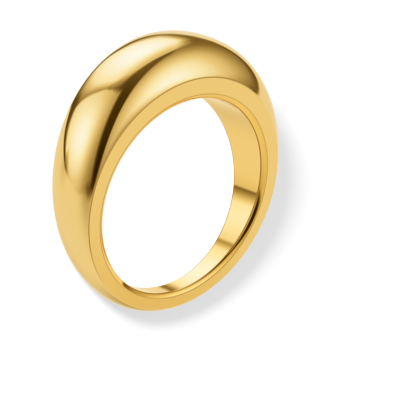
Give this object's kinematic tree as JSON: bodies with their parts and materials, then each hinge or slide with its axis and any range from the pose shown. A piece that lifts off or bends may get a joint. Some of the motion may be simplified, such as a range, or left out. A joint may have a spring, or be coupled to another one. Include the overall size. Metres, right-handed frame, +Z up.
{
  "type": "dome ring",
  "caption": "Polished finger ring with flat wedge-shaped side faces, whose narrow band swells into a high rounded dome.",
  "frame": {"origin": "where the axis of the finger bore crosses the plane of the rear side face, which the ring rests on", "axes": "+Z up, square to the surface that the ring lies on; +Y towards the top of the dome; +X to the ring's right seen with the dome up"},
  "size_m": [0.0224, 0.024, 0.0067],
  "materials": {
    "polished_gold": "polished, gold-plated"
  },
  "bodies": {
    "root": {"ring": "polished_gold"}
  },
  "joints": []
}
